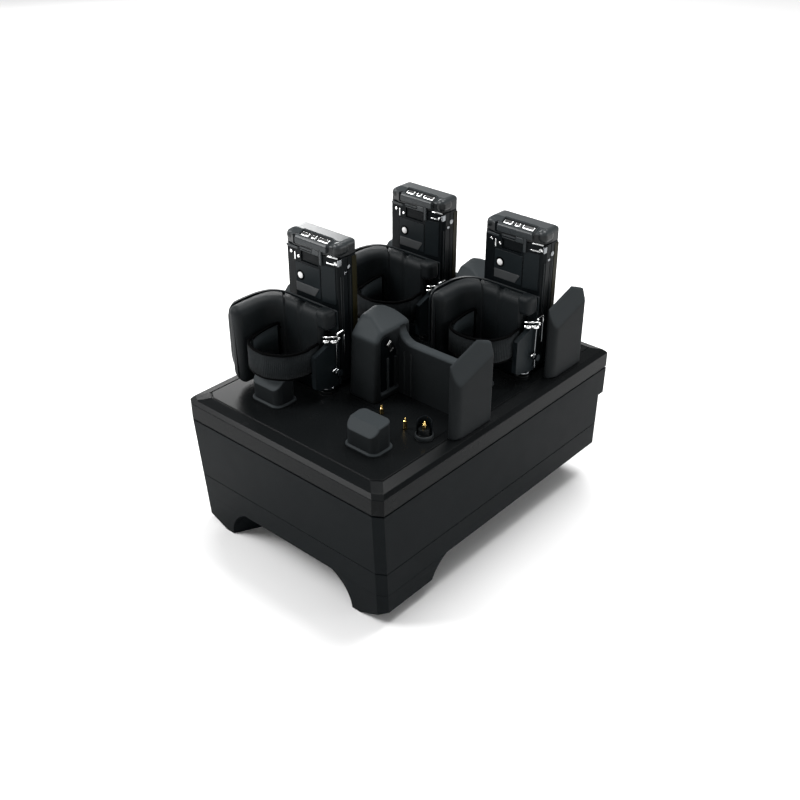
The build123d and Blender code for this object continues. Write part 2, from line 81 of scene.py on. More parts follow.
# Terminal: the plane of its front, and how the window in its scan slot leans
CASE_FACE = -41.0
WINDOW_TILT = math.atan2(3.0, 5.6)

# Cuff: the share of its line where the wing ends, and the short run to the back of the palm
BACK_START = 0.36
BACK_RUN = 0.12

# Steps of a quarter round
ROUND_STEPS = 6

# Cuff pad: heights, corner radii along the wing and behind the palm, and its outer and inner
# line from the wing's tip to the palm's right end
PAD_TOP = 140.0
PAD_FOOT = 92.7
SHELF_CLEAR = 97.3
PAD_TIP = 4.4
PAD_COUNT = 78
WING_RADII = (2.4, 7.2, 4.8, 5.4)
PALM_RADII = (2.4, 2.8, 3.6, 5.0)
PAD_SEAMS = (47, 48, 63, 64)
SEAM_DEPTH = 0.9
PAD_OUTER = [(9.5, -74.6), (9.0, -68.0), (9.0, -60.5), (9.4, -55.2), (11.7, -49.4),
             (16.2, -45.6), (22.4, -44.0), (30.0, -43.7), (44.0, -43.7), (53.6, -43.7)]
PAD_INNER = [(19.8, -75.0), (20.0, -68.0), (20.1, -62.5), (20.9, -58.6), (22.9, -55.2),
             (26.2, -52.9), (30.4, -52.0), (36.0, -51.9), (46.0, -51.9), (53.6, -51.9)]

# Cuff shell: heights and the line that it follows behind the pad
SHELL_TOP = 139.6
SHELL_MIDDLE = 130.0
SHELL_FOOT = 100.0
SHELL_ROUND = 7.0
SHELL_COUNT = 70
SHELL_LINE = [(9.0, -76.4), (9.0, -70.0), (8.9, -60.5), (9.3, -55.2), (11.6, -49.3),
              (16.2, -45.4), (22.4, -43.7), (30.0, -43.4), (44.0, -43.4), (60.3, -43.4)]

# Strap: heights, ribs and binding of the loop, and the lining of its inner end
STRAP_FOOT = 106.4
STRAP_TOP = 122.5
STRAP_HALF = 0.58
RIB_PITCH = 1.12
RIB_HEIGHT = 0.15
HEM = 0.9
BINDING_DROP = 0.6
BINDING_RADIUS = 0.85
STRAP_LINE = [(25.0, -53.2), (23.2, -57.0), (22.1, -63.0), (22.0, -70.8), (24.6, -77.4),
              (30.8, -80.8), (37.2, -81.7), (43.6, -80.8), (52.7, -75.0), (56.6, -65.6),
              (56.0, -59.0), (55.5, -53.4)]
FLAP_RISE = 3.2
FLAP_HALF = 0.35
FLAP_BINDING = 0.75
FLAP_LINE = [(23.9, -73.8), (23.0, -69.4), (23.2, -63.0), (24.2, -57.4), (25.3, -54.2)]

# Lever: both ends of its roller, and where the roller is parted
LEVER_FRONT = (58.2, -52.2)
LEVER_REAR = (64.0, -46.4)
ROLLER_SPLIT = 0.46

# Empty bay: place and top of each contact pin, and the heights of the hood at the last one
PINS = [((22.4, -45.2), 94.4), ((42.7, -48.6), 96.2), ((56.0, -48.4), 99.2)]
PIN_FOOT = 90.0
HOOD_FOOT = 91.5
HOOD_TOP = 100.6

# Pocket beside a terminal: its outline on the back wall's left face
POCKET = [(-36.1, 93.2), (-36.1, 124.4), (-35.2, 127.0), (-32.7, 128.1), (-29.6, 128.1),
          (-21.2, 116.4), (-21.2, 93.2)]

# Sky: its strength, and stops of height against grey
WORLD_STRENGTH = 1.7
WORLD_STOPS = [(0.0, 0.6), (0.31, 0.6), (0.43, 0.08), (0.84, 0.08), (0.93, 1.0), (1.0, 1.0)]

# Lights: name, place, target and size in metres, and power in watts
LIGHTS = [
    ("top", (-0.05, 0.60, 1.58), (0, 0, 0.05), (0.9, 0.8), 26.0),
    ("right_panel", (1.37, 0.81, 0.30), (0, 0, 0.1), (0.5, 0.4), 5.0),
    ("side_panel", (-1.26, 0.79, 0.69), (0, 0, 0.09), (0.6, 0.45), 11.0),
    ("front_fill", (-0.91, -0.82, 1.12), (0, 0, 0.09), (0.7, 0.6), 20.0),
]

# Floor: half its width, and how far it lies under the feet so that they do not share a plane
FLOOR_HALF = 6.0
FLOOR_DROP = 0.0002

# Camera, fitted to the straight edges of the cradle: place, direction in degrees and lens in mm
CAMERA_PLACE = (0.360326, -0.413033, 0.397602)
CAMERA_AZIMUTH = 41.411
CAMERA_ELEVATION = 31.001
CAMERA_LENS = 47.658
SENSOR_WIDTH = 36.0


# ---------------------------------------------------------------- places

def bay_origin(bay):
    """The reference point of a bay, found from its back wall."""
    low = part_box("back_wall_" + bay)[0]
    return Vector((low.x - WALL_LEFT * MM, low.y - WALL_FRONT * MM, 0))


ORIGIN = {bay: bay_origin(bay) for bay in BAYS}


def smooth_line(points, count):
    """Evenly counted points on a Catmull-Rom curve through the given ones."""
    points = [Vector(p) for p in points]
    ends = [2 * points[0] - points[1]] + points + [2 * points[-1] - points[-2]]
    line = []
    for i in range(count):
        place = i / (count - 1) * (len(points) - 1)
        k = min(int(place), len(points) - 2)
        t = place - k
        a, b, c, d = ends[k:k + 4]
        line.append(0.5 * (2 * b + (c - a) * t + (2 * a - 5 * b + 4 * c - d) * t ** 2
                           + (3 * b - a - 3 * c + d) * t ** 3))
    return line


def even_line(points, step):
    """The same curve, with its points a constant step apart."""
    fine = smooth_line(points, CURVE_STEPS)
    line = [fine[0]]
    left = step
    for a, b in zip(fine, fine[1:]):
        span = (b - a).length
        while left <= span:
            a = a + (b - a) * (left / span)
            line.append(a)
            span = (b - a).length
            left = step
        left -= span
    return line


# ---------------------------------------------------------------- materials

class Nodes:
    """A node material under construction."""

    def __init__(self, name):
        self.material = bpy.data.materials.new(name)
        self.material.use_nodes = True
        self.tree = self.material.node_tree
        self.shader = self.tree.nodes["Principled BSDF"]
        self.place = self.add("ShaderNodeTexCoord").outputs["Object"]

    def add(self, kind, **inputs):
        """A new node with its inputs set; an underscore stands for a space in their names."""
        node = self.tree.nodes.new(kind)
        for key, value in inputs.items():
            self.put(node.inputs[key.replace("_", " ")], value)
        return node

    def put(self, socket, value):
        """Link a socket to another one, or give it a plain value."""
        if isinstance(value, bpy.types.NodeSocket):
            self.tree.links.new(value, socket)
        else:
            socket.default_value = value

    def noise(self, scale, detail=2.0, stretch=(1, 1, 1)):
        """Noise in the piece's own coordinates."""
        mapping = self.add("ShaderNodeMapping", Vector=self.place, Scale=stretch)
        node = self.add("ShaderNodeTexNoise", Vector=mapping.outputs[0], Scale=scale, Detail=detail)
        return node.outputs["Fac"]

    def wave(self, scale, direction, profile="SIN"):
        """Even bands across a direction."""
        node = self.add("ShaderNodeTexWave", Vector=self.place, Scale=scale)
        node.bands_direction = direction
        node.wave_profile = profile
        return node.outputs["Fac"]

    def between(self, value, low, high):
        """A number from low to high that follows value."""
        node = self.add("ShaderNodeMapRange", Value=value, To_Min=low, To_Max=high)
        return node.outputs["Result"]

    def colours(self, value, dark, light):
        """A colour from dark to light that follows value."""
        node = self.add("ShaderNodeMix")
        node.data_type = "RGBA"
        self.put(node.inputs[0], value)
        self.put(node.inputs[6], (*dark, 1))
        self.put(node.inputs[7], (*light, 1))
        return node.outputs[2]

    def bump(self, height, depth, strength=1.0, normal=None):
        """A normal disturbed by height, on top of another one if it is given."""
        node = self.add("ShaderNodeBump", Height=height, Distance=depth, Strength=strength)
        if normal is not None:
            self.put(node.inputs["Normal"], normal)
        return node.outputs["Normal"]

    def facing_up(self, start, full):
        """A number from 0 to 1 that grows as the surface turns upwards."""
        normal = self.add("ShaderNodeNewGeometry").outputs["Normal"]
        rise = self.add("ShaderNodeSeparateXYZ", Vector=normal).outputs["Z"]
        node = self.add("ShaderNodeMapRange", Value=rise, From_Min=start, From_Max=full)
        return node.outputs["Result"]

    def sum(self, a, factor, b):
        """The value a times factor, plus b."""
        node = self.add("ShaderNodeMath")
        node.operation = "MULTIPLY_ADD"
        for socket, value in zip(node.inputs, (a, factor, b)):
            self.put(socket, value)
        return node.outputs[0]

    def set(self, **inputs):
        """Set inputs of the shader and hand back the finished material."""
        for key, value in inputs.items():
            self.put(self.shader.inputs[key.replace("_", " ")], value)
        return self.material


def tint(colour, factor):
    """The colour with every channel times factor."""
    return tuple(channel * factor for channel in colour)


def plastic(name, colour, roughness, grain=0.012, specular=0.3, vary=0.04):
    """Moulded plastic: fine spark-eroded grain, faint flow mottling and uneven gloss."""
    n = Nodes(name)
    mottle = n.noise(MOTTLE_SCALE, 3.0)
    skin = n.bump(n.noise(GRAIN_SCALE, 2.0), grain * MM)
    gloss = n.between(n.noise(GLOSS_SCALE, 2.0), roughness - vary, roughness + vary)
    return n.set(Base_Color=n.colours(mottle, tint(colour, DARKER), tint(colour, LIGHTER)),
                 Roughness=gloss, Normal=skin, Specular_IOR_Level=specular)


def painted_top_light(name, colour, roughness, specular, top_light_gain, grain=0.006, vary=0.04):
    """Moulded plastic with painted light from above: paler where it faces up, with faint mottling."""
    n = Nodes(name)
    # painted light: upward faces are painted paler, as if lit from above, with faint random mottling
    # mixed in
    mottle_and_top_light = n.sum(n.noise(MOTTLE_SCALE, 3.0), 0.12, n.facing_up(0.05, 0.45))
    gloss = n.between(n.noise(GLOSS_SCALE, 2.0), roughness - vary, roughness + vary)
    skin = n.bump(n.noise(GRAIN_SCALE, 2.0), grain * MM)
    return n.set(Base_Color=n.colours(mottle_and_top_light, tint(colour, DARKER), tint(colour, top_light_gain)),
                 Roughness=gloss, Normal=skin, Specular_IOR_Level=specular)


def metal(name, colour, roughness, brushed=(1, 1, 1), depth=0.004):
    """Bright metal with faint polishing marks."""
    n = Nodes(name)
    marks = n.noise(900.0, 3.0, brushed)
    gloss = n.between(n.noise(260.0, 2.0), roughness * 0.7, roughness * 1.3)
    return n.set(Base_Color=n.colours(marks, tint(colour, 0.93), colour), Metallic=1.0, Roughness=gloss,
                 Normal=n.bump(marks, depth * MM))


def foam(name, colour):
    """Closed-cell foam with a matt skin."""
    n = Nodes(name)
    cells = n.noise(1500.0, 4.0)
    dimples = n.noise(160.0, 2.0)
    skin = n.bump(cells, 0.03 * MM, 0.8, n.bump(dimples, 0.12 * MM, 0.6))
    return n.set(Base_Color=n.colours(n.noise(60.0, 4.0), tint(colour, 0.82), tint(colour, 1.18)),
                 Roughness=n.between(cells, 0.46, 0.66), Normal=skin, Specular_IOR_Level=0.16)


def elastic(name, colour):
    """Woven elastic: rows of knit across the ribs that the mesh has."""
    n = Nodes(name)
    rows = n.wave(820.0, "Z")
    yarn = n.noise(2400.0, 3.0, (1, 1, 0.4))
    skin = n.bump(rows, 0.06 * MM, 0.8, n.bump(yarn, 0.05 * MM, 0.7))
    return n.set(Base_Color=n.colours(rows, tint(colour, 0.7), tint(colour, 1.25)),
                 Roughness=0.7, Normal=skin, Specular_IOR_Level=0.15,
                 Sheen_Weight=0.03, Sheen_Roughness=0.4)


def label(name, colour):
    """Plain printed label with fine generic lines."""
    n = Nodes(name)
    lines = n.wave(560.0, "Z")
    return n.set(Base_Color=n.colours(lines, tint(colour, 0.7), tint(colour, 1.15)),
                 Roughness=n.between(n.noise(700.0), 0.32, 0.46), Normal=n.bump(lines, 0.01 * MM))


def board(name):
    """Circuit board: solder mask with faint tracks."""
    n = Nodes(name)
    tracks = n.wave(260.0, "X", "SAW")
    return n.set(Base_Color=n.colours(tracks, (0.01, 0.08, 0.035), (0.02, 0.14, 0.06)), Roughness=0.35,
                 Normal=n.bump(tracks, 0.03 * MM))


def window(name):
    """Scan window: smoked plastic with a hard coat."""
    n = Nodes(name)
    haze = n.noise(GLOSS_SCALE, 2.0)
    return n.set(Base_Color=n.colours(haze, (0.015, 0.016, 0.018), (0.04, 0.042, 0.045)),
                 Roughness=n.between(haze, 0.04, 0.09), Coat_Weight=0.6, Coat_Roughness=0.03)


# The bluish black of the housings and cuffs, and the greyer one of the deck, guides and heads
CHARCOAL = (0.0072, 0.0096, 0.0110)
GRAPHITE = (0.0084, 0.0097, 0.0104)
MATERIALS = {
    "body_plastic": plastic("body_plastic", tint(CHARCOAL, 0.6), 0.42, specular=0.035, grain=0.006),
    "deck_plastic": plastic("deck_plastic", tint(GRAPHITE, 0.5), 0.27, grain=0.0, specular=0.06,
                            vary=0.01),
    # guide_plastic: painted light, paler on faces that turn upwards
    "guide_plastic": painted_top_light("guide_plastic", tint(GRAPHITE, 1.25), 0.42, 0.03, 2.7),
    "board": board("board"),
    "inlet_plastic": plastic("inlet_plastic", (0.006, 0.006, 0.006), 0.22, grain=0.003),
    "gold_contact": metal("gold_contact", (0.90, 0.62, 0.22), 0.16),
    "spring_steel": metal("spring_steel", (0.66, 0.66, 0.65), 0.20, brushed=(1, 1, 12)),
    "case_plastic": plastic("case_plastic", tint(CHARCOAL, 0.6), 0.34, specular=0.06, grain=0.004),
    "panel_plastic": plastic("panel_plastic", tint(CHARCOAL, 1.2), 0.36, grain=0.004, specular=0.09),
    "strip_plastic": plastic("strip_plastic", tint(GRAPHITE, 1.9), 0.4, grain=0.004, specular=0.12),
    "trim_plastic": plastic("trim_plastic", tint(GRAPHITE, 3.2), 0.28, grain=0.003, specular=0.22),
    "edge_tint": plastic("edge_tint", (0.0125, 0.011, 0.0035), 0.4, grain=0.004, specular=0.08),
    # head_plastic: painted light, paler on faces that turn upwards
    "head_plastic": painted_top_light("head_plastic", tint(GRAPHITE, 1.3), 0.30, 0.22, 2.4),
    "window_glass": window("window_glass"),
    "key_plastic": plastic("key_plastic", tint(CHARCOAL, 0.5), 0.4, specular=0.08),
    "cuff_plastic": plastic("cuff_plastic", tint(CHARCOAL, 1.1), 0.30, grain=0.006, specular=0.3),
    "pad_foam": foam("pad_foam", tint(CHARCOAL, 0.78)),
    "elastic_web": elastic("elastic_web", tint(CHARCOAL, 1.0)),
    # painted light: the lining's elastic is twice as pale, standing in for light on the cuff's shaded
    # inside
    "web_lining_painted_light": elastic("web_lining_painted_light", tint(CHARCOAL, 2.0)),
    "binding": plastic("binding", (0.0006, 0.0007, 0.0008), 0.7, grain=0.01, specular=0.02),
    "arm_plastic": plastic("arm_plastic", tint(CHARCOAL, 1.3), 0.4, specular=0.06),
    "lever_chrome": metal("lever_chrome", (0.86, 0.87, 0.87), 0.07),
    "dark_chrome": metal("dark_chrome", (0.22, 0.23, 0.24), 0.15),
    "white_dot": plastic("white_dot", (0.86, 0.86, 0.85), 0.35, grain=0.004),
    "label_grey": label("label_grey", (0.042, 0.045, 0.047)),
    "rubber": plastic("rubber", (0.0024, 0.0034, 0.0042), 0.5, grain=0.01, specular=0.03),
}


# ---------------------------------------------------------------- mesh helpers

def piece(name, verts, faces, material):
    """A smooth shaded mesh object from millimetre points."""
    mesh = bpy.data.meshes.new(name)
    mesh.from_pydata([Vector(v) * MM for v in verts], [], faces)
    mesh.validate()
    obj = bpy.data.objects.new(name, mesh)
    bpy.context.scene.collection.objects.link(obj)
    mesh.materials.append(MATERIALS[material])
    clean = bmesh.new()
    clean.from_mesh(mesh)
    bmesh.ops.recalc_face_normals(clean, faces=clean.faces)
    clean.to_mesh(mesh)
    clean.free()
    for polygon in mesh.polygons:
        polygon.use_smooth = True
    return obj


def put(obj, bay, body, slot, *replaced):
    """Move a piece from bay coordinates to its bay, and tie it to a body of that bay.

    replaced names the CAD nodes of the bay that it is shown instead of, if any.
    """
    obj.location = ORIGIN[bay]
    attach(obj, body + "_" + bay)
    if replaced:
        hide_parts(*[node + "_" + bay for node in replaced])


def ride_cradle(obj, bay=None):
    """Tie a piece to the cradle, moved from bay coordinates if it is in a bay."""
    if bay:
        obj.location = ORIGIN[bay]
    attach(obj, "cradle")


def weld_doubles(obj):
    """Join points that share a place, so that an edge between two faces is one edge."""
    weld = obj.modifiers.new("weld", "WELD")
    weld.merge_threshold = WELD_REACH


def round_edges(obj, width, segments=3, angle=28):
    """Bevel the edges sharper than angle and keep flat faces flat."""
    weld_doubles(obj)
    bevel = obj.modifiers.new("bevel", "BEVEL")
    bevel.width = width * MM
    bevel.segments = segments
    bevel.limit_method = "ANGLE"
    bevel.angle_limit = math.radians(angle)
    bevel.harden_normals = True
    return obj


def melt(obj, rounds):
    """Round every edge softly, by even remeshing and smoothing."""
    weld_doubles(obj)
    remesh = obj.modifiers.new("remesh", "REMESH")
    remesh.mode = "VOXEL"
    remesh.voxel_size = MELT_VOXEL * MM
    remesh.use_smooth_shade = True
    relax = obj.modifiers.new("relax", "SMOOTH")
    relax.factor = MELT_FACTOR
    relax.iterations = rounds


def block(name, x, y, z, material, radius=0.4):
    """A box with rounded edges; x, y and z are pairs of limits."""
    verts = [(a, b, c) for c in z for b in y for a in x]
    faces = [(0, 2, 3, 1), (4, 5, 7, 6), (0, 1, 5, 4), (2, 6, 7, 3), (0, 4, 6, 2), (1, 3, 7, 5)]
    return round_edges(piece(name, verts, faces, material), radius, segments=4)


def prism(name, outline, axis, low, high, material, radius=0.3):
    """An outline in the two other axes, extruded along one, with rounded edges."""
    def at(p, q, height):
        return {"x": (height, p, q), "y": (p, height, q), "z": (p, q, height)}[axis]
    count = len(outline)
    verts = [at(p, q, low) for p, q in outline] + [at(p, q, high) for p, q in outline]
    faces = [tuple(range(count)), tuple(range(count, 2 * count))]
    faces += [(i, (i + 1) % count, (i + 1) % count + count, i + count) for i in range(count)]
    return round_edges(piece(name, verts, faces, material), radius)


def loft(name, rings, material, closed_ends=True):
    """A skin over rings of points; each ring is a closed loop."""
    count = len(rings[0])
    verts = [point for ring in rings for point in ring]
    faces = []
    for r in range(len(rings) - 1):
        for i in range(count):
            j = (i + 1) % count
            faces.append((r * count + i, r * count + j, (r + 1) * count + j, (r + 1) * count + i))
    if closed_ends:
        faces.append(tuple(range(count)))
        faces.append(tuple((len(rings) - 1) * count + i for i in range(count)))
    return piece(name, verts, faces, material)


def wire(name, points, radius, material, sides=12, bend=6):
    """Round wire through the given points, with its bends rounded."""
    line = [Vector(p) for p in points]
    if bend > 1:
        line = smooth_line(points, (len(points) - 1) * bend + 1)
    turn = [2 * math.pi * k / sides for k in range(sides)]
    rings = []
    normal = None
    for i, point in enumerate(line):
        along = (line[min(i + 1, len(line) - 1)] - line[max(i - 1, 0)]).normalized()
        if normal is None:
            normal = along.orthogonal().normalized()
        normal = (normal - along * normal.dot(along)).normalized()
        side = along.cross(normal)
        rings.append([point + radius * (math.cos(a) * normal + math.sin(a) * side)
                      for a in turn])
    return loft(name, rings, material)


def lathe(name, centre, axis, profile, material, sides=32):
    """A turned piece: profile lists (radius, height) along the axis, which is a unit vector."""
    centre = Vector(centre)
    axis = Vector(axis)
    across = axis.orthogonal().normalized()
    other = axis.cross(across)
    turn = [2 * math.pi * k / sides for k in range(sides)]
    spokes = [math.cos(a) * across + math.sin(a) * other for a in turn]
    rings = [[centre + axis * height + radius * spoke for spoke in spokes]
             for radius, height in profile]
    return sharp_where_bent(loft(name, rings, material))


def sharp_where_bent(obj, angle=35):
    """Smooth shading that stops at edges sharper than the angle."""
    mesh = bmesh.new()
    mesh.from_mesh(obj.data)
    for edge in mesh.edges:
        if len(edge.link_faces) == 2:
            edge.smooth = edge.calc_face_angle(0) < math.radians(angle)
    mesh.to_mesh(obj.data)
    mesh.free()
    return obj


# ---------------------------------------------------------------- cuff

def pad_section(inner, outer, foot, top, radii, inset):
    """A rounded upright section between an inner and an outer point, drawn in by inset all round."""
    across = (outer - inner).normalized()
    width = (outer - inner).length
    corners = [(0, foot, 1, 1), (width, foot, -1, 1), (width, top, -1, -1), (0, top, 1, -1)]
    ring = []
    for quarter, ((a, z, to_a, to_z), radius) in enumerate(zip(corners, radii)):
        reach = max(radius - inset, 0.05)
        middle_a = a + to_a * (reach + inset)
        middle_z = z + to_z * (reach + inset)
        for k in range(ROUND_STEPS + 1):
            angle = math.pi + (quarter + k / ROUND_STEPS) * math.pi / 2
            ring.append((*(inner + across * (middle_a + reach * math.cos(angle))),
                         middle_z + reach * math.sin(angle)))
    return ring


def outwards(line, i):
    """The flat direction to the left of a line at its point i."""
    along = (line[min(i + 1, len(line) - 1)] - line[max(i - 1, 0)]).normalized()
    return Vector((-along.y, along.x))


def towards_back(i, count):
    """0 along the cuff's wing, 1 behind the palm, with a short run between."""
    return min(max((i / (count - 1) - BACK_START) / BACK_RUN, 0), 1)


def cuff_pad(bay):
    """Thick soft lining, with seams pressed into its rim."""
    outer = smooth_line(PAD_OUTER, PAD_COUNT)
    inner = smooth_line(PAD_INNER, PAD_COUNT)
    rings = []
    for k in range(ROUND_STEPS, 0, -1):
        angle = k / ROUND_STEPS * math.pi / 2
        ahead = Vector((0, -1)) * (PAD_TIP * math.sin(angle))
        inset = PAD_TIP * (1 - math.cos(angle))
        rings.append(pad_section(inner[0] + ahead, outer[0] + ahead, PAD_FOOT, PAD_TOP,
                                 WING_RADII, inset))
    for i, (a, b) in enumerate(zip(inner, outer)):
        back = towards_back(i, PAD_COUNT)
        foot = PAD_FOOT + (SHELF_CLEAR - PAD_FOOT) * back
        seam = SEAM_DEPTH if i in PAD_SEAMS else 0.0
        radii = [wing + (palm - wing) * back for wing, palm in zip(WING_RADII, PALM_RADII)]
        rings.append(pad_section(a, b, foot, PAD_TOP - seam, radii, seam * 0.5))
    pad = loft("pad_" + bay, rings, "pad_foam")
    put(pad, bay, "terminal", "pad_foam", "cuff_pad")


def thumb_rest(bay):
    """Short rounded block at the pad's right end."""
    rest = block("thumb_rest_" + bay, (50.8, 60.6), (-51.8, -42.4), (129.2, 141.0), "pad_foam",
                 3.2)
    put(rest, bay, "terminal", "pad_foam")


def end_drop(distance, radius):
    """How far a quarter round has come down at a distance from the end that it rounds."""
    if distance >= radius:
        return 0.0
    return radius - math.sqrt(radius ** 2 - (radius - distance) ** 2)


def cuff_shell(bay):
    """Hard shell behind the pad: rounded at its free end, curled under the wing of the pad.

    near and far are the two sides of its section, as pairs of offset from the line and height.
    """
    line = smooth_line(SHELL_LINE, SHELL_COUNT)
    rings = []
    gone = 0.0
    for i, point in enumerate(line):
        out = outwards(line, i)
        gone += (point - line[max(i - 1, 0)]).length
        drop = end_drop(gone, SHELL_ROUND)
        back = towards_back(i, SHELL_COUNT)
        curl = 1.0 - back
        top = SHELL_TOP - drop
        low = SHELL_FOOT - 2.4 * back + drop
        near = [(0.3, top - 0.4), (0.3, SHELL_MIDDLE), (0.3, low + 1.0),
                (-0.5 * curl, low - 2.4), (-2.2 * curl, low - 5.2 + 4.4 * back),
                (-4.6 * curl, low - 6.6 + 6.0 * back)]
        far = [(1.0, top), (1.5, top - 0.5), (1.6, SHELL_MIDDLE), (1.6, low),
               (0.9 * curl + 1.6 * back, low - 3.6),
               (-1.3 * curl + 1.6 * back, low - 7.0 + 4.4 * back),
               (-4.6 * curl + 0.6 * back, low - 8.0 + 6.0 * back)]
        rings.append([(*(point + out * a), z) for a, z in near[::-1] + far])
    shell = loft("shell_" + bay, rings, "cuff_plastic")
    put(sharp_where_bent(shell, 50), bay, "terminal", "cuff_plastic", "cuff_shell")


# ---------------------------------------------------------------- strap

def strap_band(bay):
    """Ribbed elastic loop with a dark binding along both edges."""
    line = even_line(STRAP_LINE, RIB_PITCH / 4)
    rings = []
    low = STRAP_FOOT + HEM
    middle = (STRAP_FOOT + STRAP_TOP) / 2
    high = STRAP_TOP - HEM
    for i, point in enumerate(line):
        out = outwards(line, i)
        half = STRAP_HALF + RIB_HEIGHT * math.cos(math.pi * i / 2)
        section = [(-half, low), (-half, middle), (-half, high),
                   (half, high), (half, middle), (half, low)]
        rings.append([(*(point + out * a), z) for a, z in section])
    band = loft("strap_band_" + bay, rings, "elastic_web")
    put(band, bay, "terminal", "elastic_web", "strap")
    for name, z in (("top", STRAP_TOP - BINDING_DROP), ("foot", STRAP_FOOT + BINDING_DROP)):
        route = [(p.x, p.y, z) for p in line[::4]]
        edge = wire("strap_edge_%s_%s" % (name, bay), route, BINDING_RADIUS, "binding",
                    sides=10, bend=1)
        put(edge, bay, "terminal", "elastic_web")


def strap_flap(bay):
    """Sewn-on lining of the strap's inner end, bound all round, that rises towards the palm; its paler
    web is painted light on the shaded inside of the cuff.
    """
    line = even_line(FLAP_LINE, RIB_PITCH)
    rise = FLAP_RISE / (len(line) - 1)
    rim = [(p.x, p.y, STRAP_TOP + rise * i - BINDING_DROP) for i, p in enumerate(line)]
    rings = [[(x - FLAP_HALF, y, STRAP_FOOT), (x - FLAP_HALF, y, top),
              (x + FLAP_HALF, y, top), (x + FLAP_HALF, y, STRAP_FOOT)] for x, y, top in rim]
    flap = loft("strap_flap_" + bay, rings, "web_lining_painted_light")
    put(flap, bay, "terminal", "elastic_web")
    x = line[-1].x + 0.3
    y = line[-1].y
    mouth = [(x, y, STRAP_FOOT - 1.6), (x, y, STRAP_TOP + FLAP_RISE - 0.4)]
    for name, route in (("flap_rim_", rim), ("strap_mouth_", mouth)):
        edge = wire(name + bay, route, FLAP_BINDING, "binding", sides=10, bend=1)
        put(edge, bay, "terminal", "elastic_web")


# ---------------------------------------------------------------- chrome hardware

def rods(bay, body, wires):
    """Straight or gently bent bright wires, given as name, points, radius and material."""
    for name, points, radius, material in wires:
        rod = wire(name + "_" + bay, points, radius, material, bend=4)
        put(rod, bay, body, "lever_chrome")


def strap_lever(bay):
    """Over-centre lever: a parted roller under a thin bar, a wire leg and a hook behind."""
    front = Vector(LEVER_FRONT)
    rear = Vector(LEVER_REAR)
    split = front.lerp(rear, ROLLER_SPLIT)
    half_gap = Vector((0.2, 0.2))
    bars = [("lever_roller_", front, split - half_gap, 123.4, 1.25),
            ("lever_roller_b_", split + half_gap, rear, 123.2, 1.25),
            ("lever_bar_", front, rear, 126.3, 0.45),
            ("lever_bar_b_", rear, rear + Vector((0.0, 1.2)), 125.0, 0.9)]
    pieces = [wire(name + bay, [(a.x, a.y, z), (b.x, b.y, z)], radius, "lever_chrome",
                   sides=16, bend=1) for name, a, b, z, radius in bars]
    eye = [(1.05, 0), (1.7, 0), (1.9, 0.3), (1.9, 1.6), (1.7, 1.9), (1.05, 1.9)]
    pieces.append(lathe("lever_eye_" + bay, (61.5, -46.0, 103.5), (1, 0, 0), eye, "dark_chrome"))
    put(pieces[0], bay, "lever", "lever_chrome", "strap_lever")
    for obj in pieces[1:]:
        put(obj, bay, "lever", "lever_chrome")
    rods(bay, "lever", [
        ("lever_hook", [(62.4, -45.8, 126.9), (62.4, -43.0, 127.2), (62.4, -40.4, 127.4)],
         0.8, "lever_chrome"),
        ("lever_tail", [(62.4, -40.2, 127.2), (62.4, -39.6, 125.4), (62.4, -39.7, 123.6)],
         0.4, "lever_chrome"),
        ("lever_keeper", [(62.2, -39.7, 123.8), (62.2, -39.6, 116.0), (62.2, -39.6, 109.6)],
         0.3, "dark_chrome"),
        ("lever_leg", [(62.2, -45.6, 122.4), (62.2, -45.9, 114.0), (62.2, -46.0, 104.8)],
         0.32, "dark_chrome"),
        ("lever_toe", [(62.2, -46.2, 105.4), (62.2, -48.0, 105.2), (62.2, -49.6, 104.9)],
         0.5, "lever_chrome"),
    ])
    rods(bay, "terminal", [
        ("contact_wire", [(61.6, -44.4, 103.0), (61.6, -44.3, 98.6), (61.6, -44.3, 94.4)],
         0.3, "dark_chrome"),
    ])


def hinge_hardware(bay):
    """Bright pins, bars and studs between the case and the scan head."""
    y = CASE_FACE
    ahead = (0, -1, 0)
    stud = [(0.4, 0), (1.0, 0.2), (1.0, 0.9), (0.7, 1.2), (0.1, 1.3)]
    broad_stud = [(0.5, 0), (1.2, 0.2), (1.2, 1.0), (0.1, 1.4)]
    pivot = [(0.5, 0), (1.4, 0.2), (1.4, 0.6), (0.1, 0.9)]
    pieces = [
        lathe("stud_left_" + bay, (24.0, y + 1.0, 164.5), ahead, stud, "lever_chrome", 20),
        block("bar_left_" + bay, (26.9, 27.8), (y - 0.6, y + 0.4), (160.6, 165.4),
              "lever_chrome", 0.35),
        lathe("stud_inner_" + bay, (30.4, y + 0.4, 163.3), ahead, stud, "lever_chrome", 20),
        block("neck_bar_" + bay, (20.2, 29.4), (y - 0.1, y + 1.8), (167.0, 168.3),
              "trim_plastic", 0.3),
        lathe("stud_right_" + bay, (57.7, y + 1.8, 165.8), ahead, broad_stud, "lever_chrome", 20),
        block("clasp_" + bay, (59.3, 60.3), (-40.6, -37.6), (164.6, 168.4), "dark_chrome", 0.4),
        lathe("pivot_right_" + bay, (59.4, -31.8, 162.3), (1, 0, 0), pivot, "dark_chrome", 24),
        block("tab_right_" + bay, (59.3, 60.0), (-35.6, -33.4), (158.6, 160.2), "dark_chrome", 0.3),
    ]
    for obj in pieces:
        put(obj, bay, "terminal", "lever_chrome")
    rods(bay, "terminal", [
        ("bar_upper", [(52.2, y + 0.2, 169.2), (55.4, y + 0.6, 169.2), (58.8, y + 1.6, 169.0)],
         0.5, "lever_chrome"),
        ("bar_lower", [(51.4, y + 0.2, 165.2), (54.2, y + 0.6, 165.1), (57.4, y + 1.2, 165.0)],
         0.5, "lever_chrome"),
    ])


# ---------------------------------------------------------------- terminal

